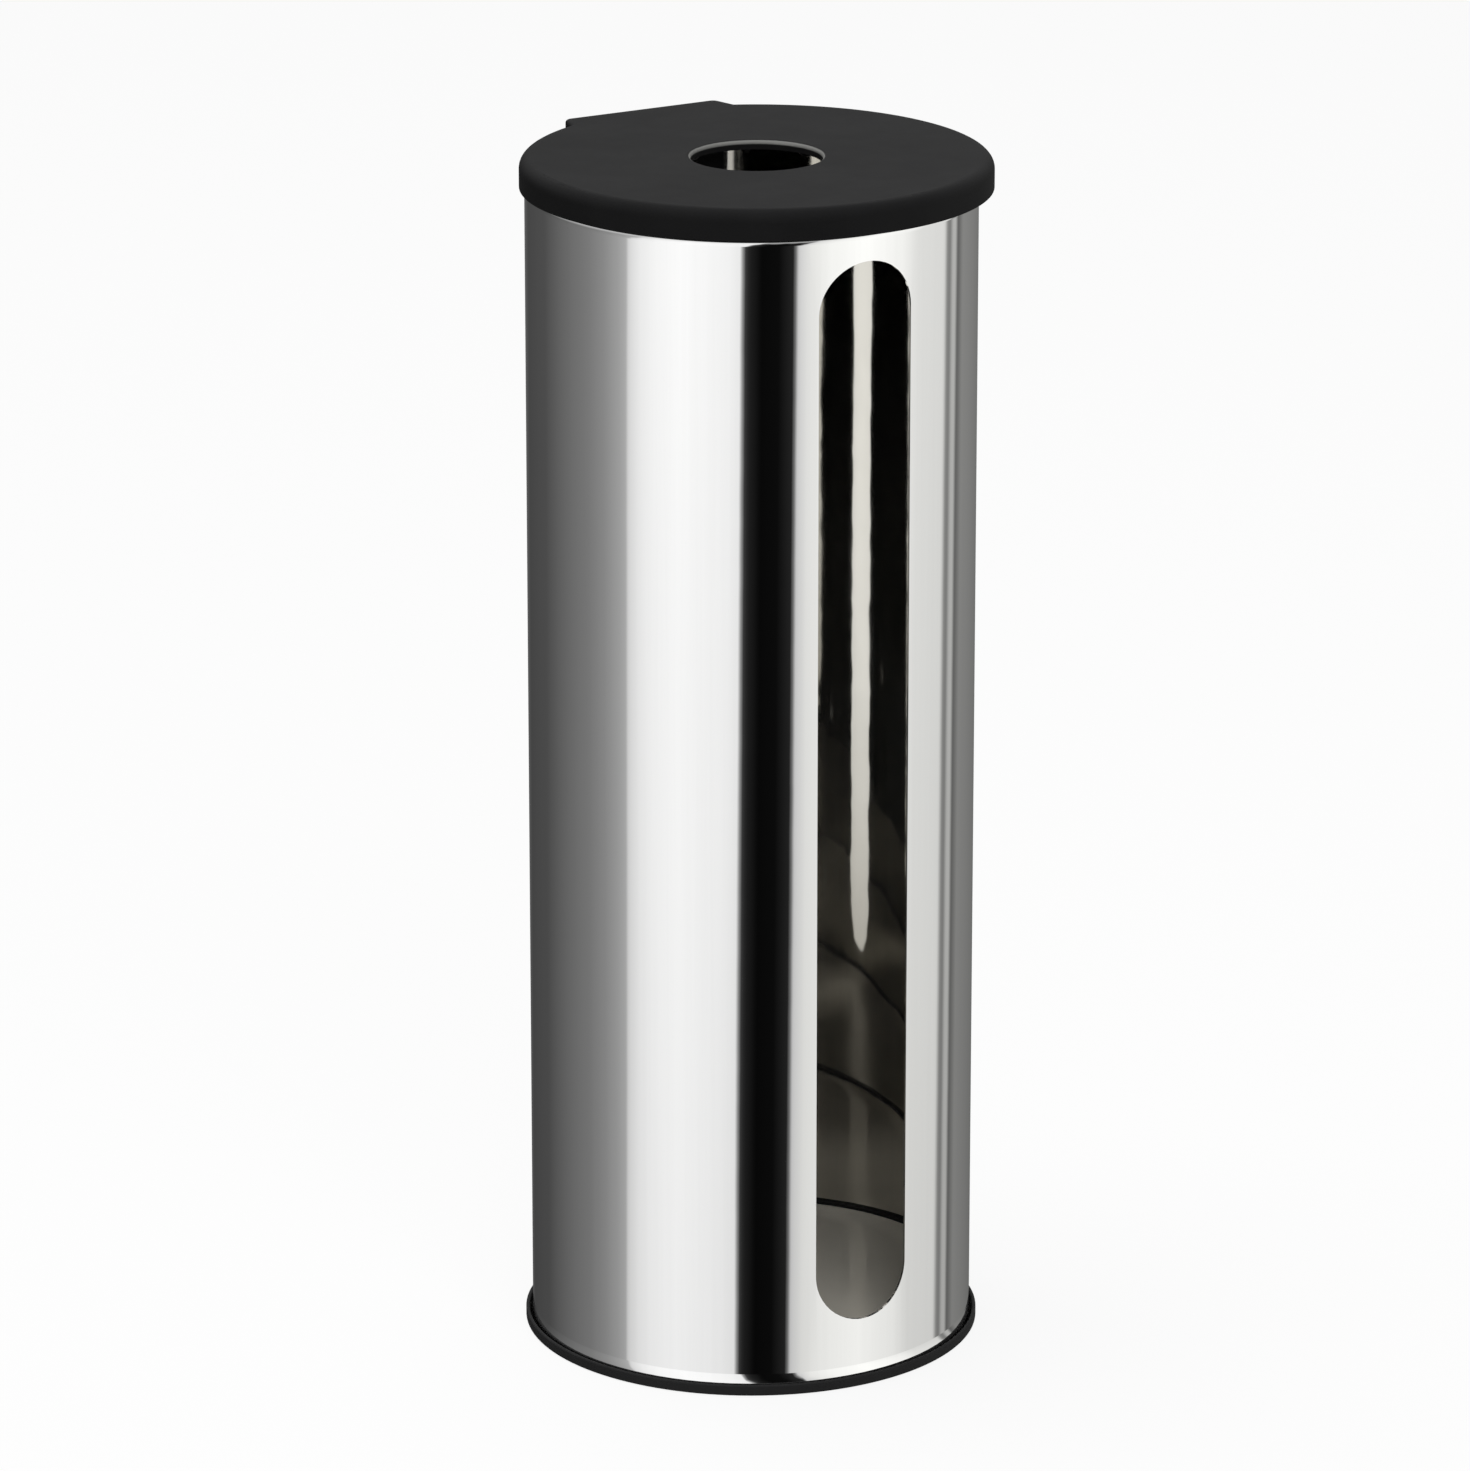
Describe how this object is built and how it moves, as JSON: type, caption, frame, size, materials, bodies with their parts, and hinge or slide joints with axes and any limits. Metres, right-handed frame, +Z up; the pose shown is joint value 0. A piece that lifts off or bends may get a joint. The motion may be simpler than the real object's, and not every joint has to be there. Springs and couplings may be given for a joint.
{
  "type": "toilet roll storage holder",
  "caption": "Upright polished steel tube with a long rounded slot in front, a black base ring and a hinged black lid with a round finger hole, for storing spare toilet rolls.",
  "frame": {"origin": "on the tube's axis, at the floor that the base ring stands on", "axes": "+Z up along the tube, -Y towards the front slot, +Y towards the hinge and the wall, +X to the right seen from the front"},
  "size_m": [0.14, 0.1421, 0.3654],
  "materials": {
    "polished_steel": "mirror polished stainless steel",
    "satin_steel": "satin stainless steel",
    "black_plastic": "fine matt black moulding"
  },
  "bodies": {
    "holder": {"body_tube": "polished_steel", "base_ring": "black_plastic", "floor_plate": "satin_steel", "hinge_bracket": "black_plastic", "bracket_rivets": "satin_steel"},
    "lid": {"lid": "black_plastic", "hinge_pin": "satin_steel"}
  },
  "joints": [
    {"name": "lid_hinge", "type": "hinge", "parent": "holder", "child": "lid", "pos_m": [0, 0.0615, 0.3599], "axis": [-1, 0, 0], "range_deg": [0, 90]}
  ]
}
